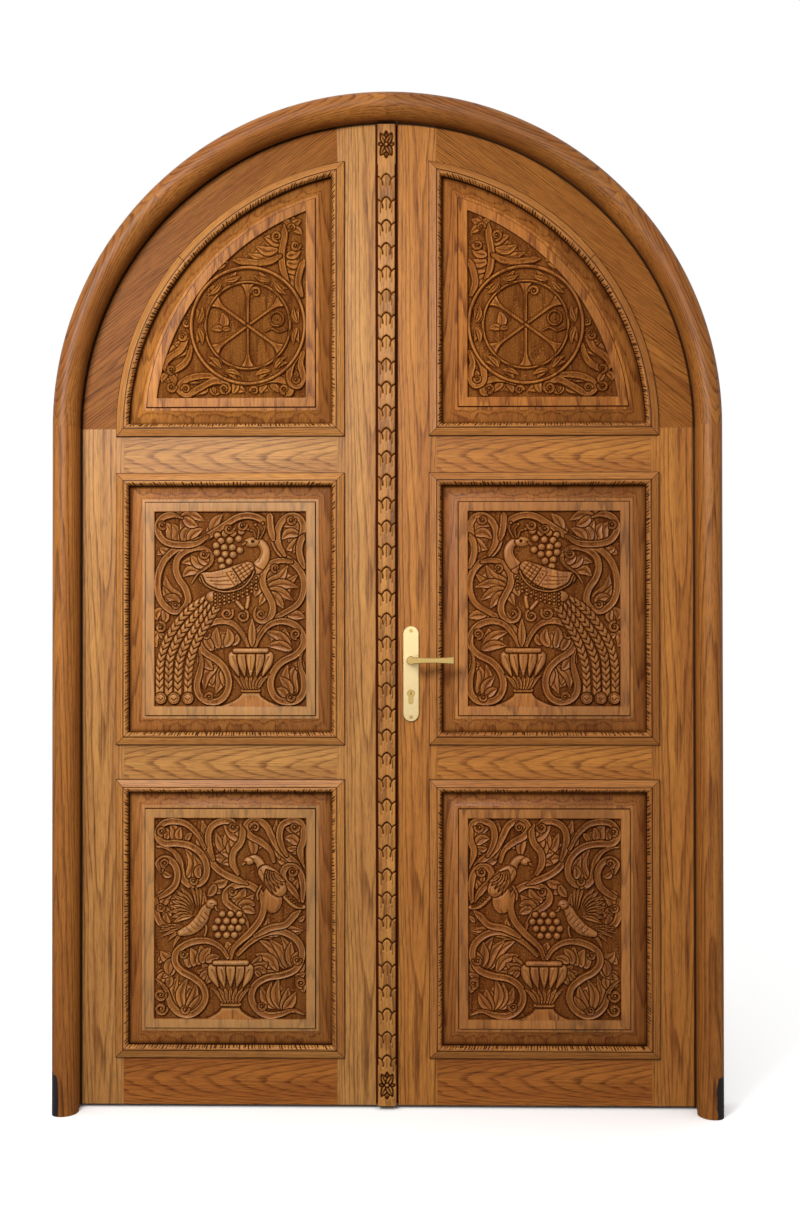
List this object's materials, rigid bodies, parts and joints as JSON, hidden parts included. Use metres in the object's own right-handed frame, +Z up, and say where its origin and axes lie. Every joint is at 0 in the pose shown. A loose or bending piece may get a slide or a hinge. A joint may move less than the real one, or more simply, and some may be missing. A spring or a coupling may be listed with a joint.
{
  "type": "arched double door",
  "caption": "Arched oak church door: paired leaves with carved raised panels in a roll-moulded frame, a carved centre strip, lever latch, dead bolt and flush bolts.",
  "frame": {"origin": "on the floor, on the centre line of the doorway, at half the thickness of the shut leaves", "axes": "+X to the right as seen from outside, +Y into the room the leaves open to, +Z up"},
  "size_m": [1.524, 0.188, 2.327],
  "materials": {
    "oak_frame": "stained and varnished",
    "oak_leaf": "stained and varnished",
    "oak_panel": "carved, stained and varnished",
    "pale_brass": "satin",
    "dark_brass": "satin",
    "cylinder_brass": "satin",
    "steel": "satin"
  },
  "bodies": {
    "frame": {"right_jamb": "oak_frame", "left_jamb": "oak_frame", "right_jamb_nosing": "oak_frame", "left_jamb_nosing": "oak_frame", "arch_ring_lower_right": "oak_frame", "arch_ring_upper_right": "oak_frame", "arch_ring_upper_left": "oak_frame", "arch_ring_lower_left": "oak_frame", "arch_nosing_lower_right": "oak_frame", "arch_nosing_upper_right": "oak_frame", "arch_nosing_upper_left": "oak_frame", "arch_nosing_lower_left": "oak_frame", "arch_splines": "oak_frame", "hinge_jamb_plates": "steel", "hinge_pins": "steel"},
    "left_leaf": {"left_hinge_stile": "oak_leaf", "left_meeting_stile": "oak_leaf", "left_bottom_rail": "oak_leaf", "left_lock_rail": "oak_leaf", "left_upper_rail": "oak_leaf", "left_arched_head": "oak_leaf", "left_bottom_panel": "oak_panel", "left_middle_panel": "oak_panel", "left_arched_panel": "oak_panel", "left_bottom_moulding": "oak_leaf", "left_middle_moulding": "oak_leaf", "left_arched_moulding": "oak_leaf", "left_back_mouldings": "oak_leaf", "left_hinge_leaf_plates": "steel", "centre_strip": "oak_leaf", "strike_plate": "steel", "flush_bolt_plates": "steel"},
    "right_leaf": {"right_hinge_stile": "oak_leaf", "right_meeting_stile": "oak_leaf", "right_bottom_rail": "oak_leaf", "right_lock_rail": "oak_leaf", "right_upper_rail": "oak_leaf", "right_arched_head": "oak_leaf", "right_bottom_panel": "oak_panel", "right_middle_panel": "oak_panel", "right_arched_panel": "oak_panel", "right_bottom_moulding": "oak_leaf", "right_middle_moulding": "oak_leaf", "right_arched_moulding": "oak_leaf", "right_back_mouldings": "oak_leaf", "right_hinge_leaf_plates": "steel", "lock_case": "steel", "front_handle_plate": "pale_brass", "rear_handle_plate": "pale_brass", "handle_plate_screws": "pale_brass", "key_cylinder": "cylinder_brass"},
    "lever_set": {"front_lever": "dark_brass", "rear_lever": "dark_brass", "lever_spindle": "steel", "lever_follower": "steel"},
    "latch": {"latch_bolt": "steel"},
    "bolt": {"dead_bolt": "steel"},
    "key_plug": {"cylinder_plug": "cylinder_brass"},
    "top_bolt": {"top_flush_bolt": "steel"},
    "bottom_bolt": {"bottom_flush_bolt": "steel"}
  },
  "joints": [
    {"name": "left_leaf_swing", "type": "hinge", "parent": "frame", "child": "left_leaf", "pos_m": [-0.7215, 0.035, 0.8], "axis": [0, 0, 1], "range_deg": [0, 100]},
    {"name": "right_leaf_swing", "type": "hinge", "parent": "frame", "child": "right_leaf", "pos_m": [0.7215, 0.035, 0.8], "axis": [0, 0, -1], "range_deg": [0, 100]},
    {"name": "lever_turn", "type": "hinge", "parent": "right_leaf", "child": "lever_set", "pos_m": [0.0555, 0, 1.031], "axis": [0, 1, 0], "range_deg": [0, 40], "stiffness_Nm_per_rad": 1.5, "springref_deg": -22.92},
    {"name": "latch_slide", "type": "slide", "parent": "right_leaf", "child": "latch", "axis": [1, 0, 0], "range_m": [0, 0.002]},
    {"name": "key_turn", "type": "hinge", "parent": "right_leaf", "child": "key_plug", "pos_m": [0.0555, 0, 0.954], "axis": [0, 1, 0], "range_deg": [0, 360]},
    {"name": "dead_bolt_slide", "type": "slide", "parent": "right_leaf", "child": "bolt", "axis": [-1, 0, 0], "range_m": [0, 0.02]},
    {"name": "top_bolt_slide", "type": "slide", "parent": "left_leaf", "child": "top_bolt", "axis": [0, 0, 1], "range_m": [0, 0.016]},
    {"name": "bottom_bolt_slide", "type": "slide", "parent": "left_leaf", "child": "bottom_bolt", "axis": [0, 0, -1], "range_m": [0, 0.016]}
  ],
  "couplings": [
    {"joint": "latch_slide", "follows": "lever_turn", "m_per_rad": 0.00286},
    {"joint": "key_turn", "follows": "dead_bolt_slide", "rad_per_m": 314}
  ]
}
